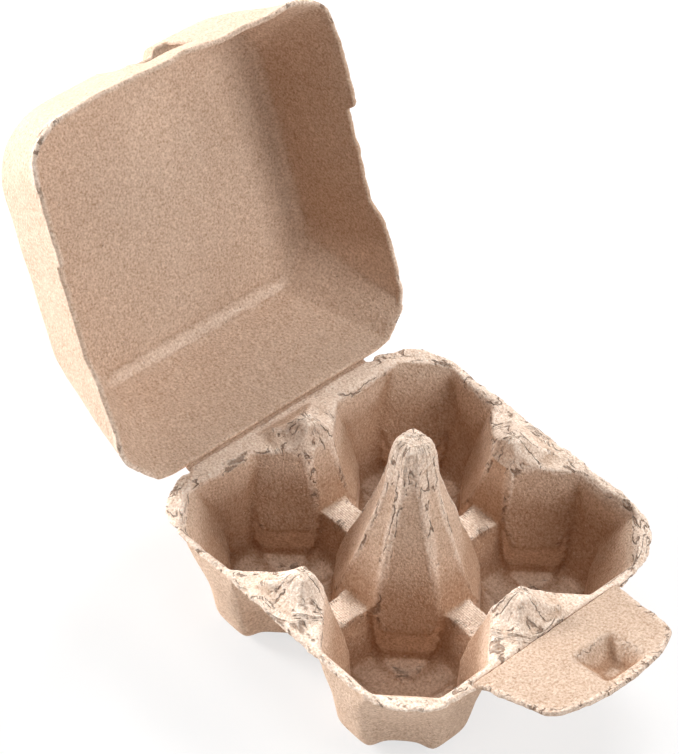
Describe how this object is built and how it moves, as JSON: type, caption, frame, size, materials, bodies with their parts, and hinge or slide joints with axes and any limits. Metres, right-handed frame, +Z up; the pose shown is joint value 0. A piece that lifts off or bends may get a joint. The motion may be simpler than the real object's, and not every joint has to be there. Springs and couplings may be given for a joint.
{
  "type": "egg carton",
  "caption": "Open moulded pulp egg carton: a tray of cups around a tall middle cone, a hinged lid with a lock window, and a lock flap with a pressed button.",
  "frame": {"origin": "middle of the open carton's bounding box, on the table under its feet", "axes": "+X from the lid's hinge towards the lock flap's free edge, +Y along the hinge, +Z up from the table"},
  "size_m": [0.2008, 0.1028, 0.138],
  "materials": {
    "tray": "matte moulded pulp, beige brown, fine grain with dark and light flecks",
    "lid": "matte moulded pulp, beige brown, fine grain with dark and light flecks",
    "lock_flap": "matte moulded pulp, beige brown, fine grain with dark and light flecks"
  },
  "bodies": {
    "tray": {"tray": "tray"},
    "lid": {"lid": "lid"},
    "lock_flap": {"lock_flap": "lock_flap"}
  },
  "joints": [
    {"name": "lid_hinge", "type": "hinge", "parent": "tray", "child": "lid", "pos_m": [-0.03376, 0, 0.0363], "axis": [0, -1, 0], "range_deg": [-111.6, 68]},
    {"name": "flap_fold", "type": "hinge", "parent": "tray", "child": "lock_flap", "pos_m": [0.07254, 0, 0.0363], "axis": [0, -1, 0], "range_deg": [-55, 93.5]}
  ]
}
